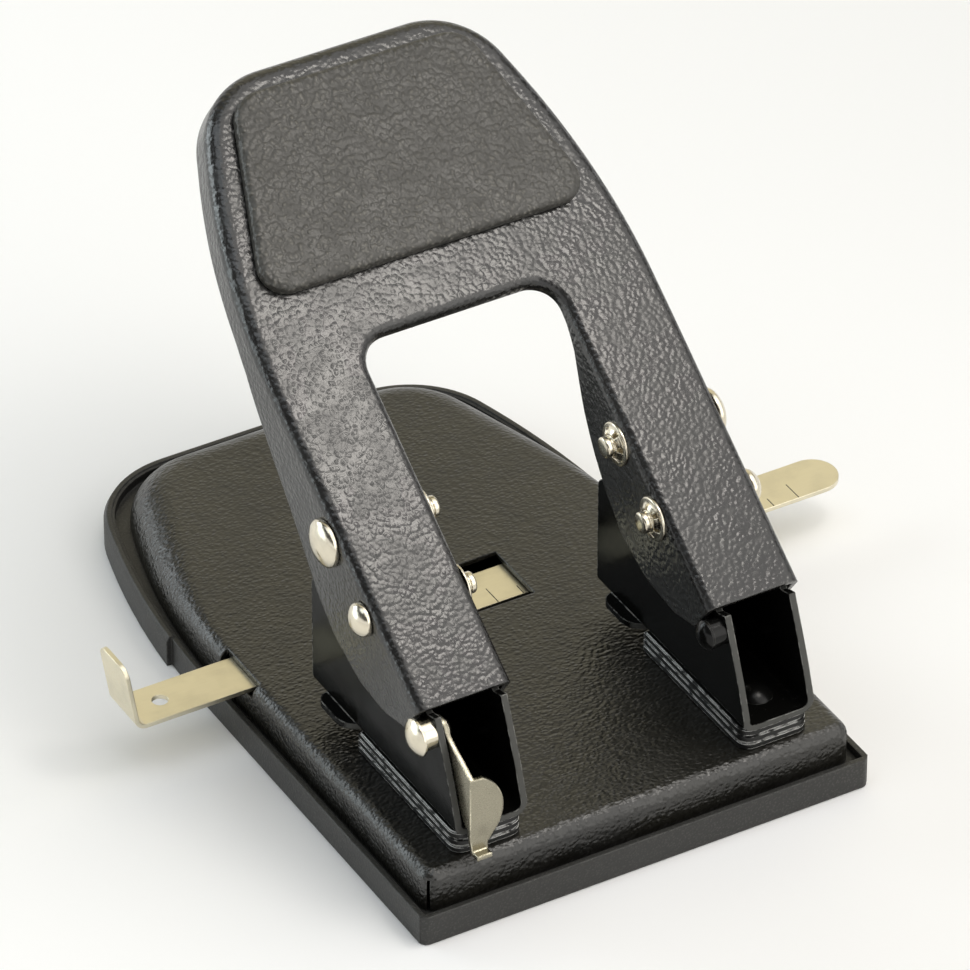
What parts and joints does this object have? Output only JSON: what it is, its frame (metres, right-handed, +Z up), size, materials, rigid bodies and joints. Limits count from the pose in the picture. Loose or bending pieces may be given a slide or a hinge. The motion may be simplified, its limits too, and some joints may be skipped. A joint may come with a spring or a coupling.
{
  "type": "two-hole paper punch",
  "caption": "Desk paper punch: a padded pressed-steel lever on a pair of riveted heads drives sprung punches through a plate over a chip tray, with a latch and a sliding paper guide.",
  "frame": {"origin": "on the table, midway between the two punches", "axes": "+Z up; +Y from the straight hinge edge to the rounded paper platform under the pad; +X to the right seen from the straight edge"},
  "size_m": [0.1802, 0.1703, 0.1296],
  "materials": {
    "tray_plastic": "smooth satin black",
    "base_paint": "grained satin dark grey",
    "lever_paint": "grained satin dark grey",
    "head_paint": "gloss black",
    "rivet_paint": "gloss black",
    "spacer_steel": "black, worn bright on its edges",
    "tool_steel": "ground",
    "strap_steel": "plain",
    "spring_steel": "drawn wire",
    "bush_brass": "turned",
    "nickel": "nickel plate",
    "guide_nickel": "nickel plate, satin",
    "pad_plastic": "fine grain, matte dark grey"
  },
  "bodies": {
    "tray": {"chip_tray": "tray_plastic"},
    "base": {"base_plate": "base_paint", "left_head_bracket": "head_paint", "right_head_bracket": "head_paint", "left_spacer_plates": "spacer_steel", "right_spacer_plates": "spacer_steel", "left_die_plate": "tool_steel", "right_die_plate": "tool_steel", "left_guide_bush": "bush_brass", "right_guide_bush": "bush_brass", "bracket_rivets": "rivet_paint", "latch_pin": "nickel", "stop_pin": "rivet_paint", "guide_clips": "strap_steel", "left_return_spring": "spring_steel", "right_return_spring": "spring_steel"},
    "lever": {"handle_frame": "lever_paint", "handle_pad": "pad_plastic", "left_pivot_pin": "nickel", "right_pivot_pin": "nickel", "left_drive_pin": "nickel", "right_drive_pin": "nickel", "push_nuts": "nickel"},
    "punch_left": {"left_punch": "tool_steel", "left_spring_seat": "strap_steel"},
    "punch_right": {"right_punch": "tool_steel", "right_spring_seat": "strap_steel"},
    "latch": {"latch_hook": "nickel"},
    "guide": {"paper_guide": "guide_nickel"}
  },
  "joints": [
    {"name": "tray_release", "type": "slide", "parent": "tray", "child": "base", "axis": [0, 0, 1], "range_m": [0, 0.04]},
    {"name": "lever_pivot", "type": "hinge", "parent": "base", "child": "lever", "pos_m": [0, -0.01759, 0.05674], "axis": [-1, 0, 0], "range_deg": [0, 30], "stiffness_Nm_per_rad": 1, "springref_deg": -28.65},
    {"name": "left_punch_slide", "type": "slide", "parent": "base", "child": "punch_left", "axis": [0, 0, -1], "range_m": [0, 0.0092], "deforming": ["left_return_spring"]},
    {"name": "right_punch_slide", "type": "slide", "parent": "base", "child": "punch_right", "axis": [0, 0, -1], "range_m": [0, 0.0092], "deforming": ["right_return_spring"]},
    {"name": "latch_swing", "type": "hinge", "parent": "base", "child": "latch", "pos_m": [-0.0414, -0.0409, 0.0415], "axis": [-1, 0, 0], "range_deg": [0, 65]},
    {"name": "guide_slide", "type": "slide", "parent": "base", "child": "guide", "axis": [1, 0, 0], "range_m": [-0.055, 0.018]}
  ],
  "couplings": [
    {"joint": "left_punch_slide", "follows": "lever_pivot", "m_per_rad": 0.017302},
    {"joint": "right_punch_slide", "follows": "lever_pivot", "m_per_rad": 0.017302}
  ]
}
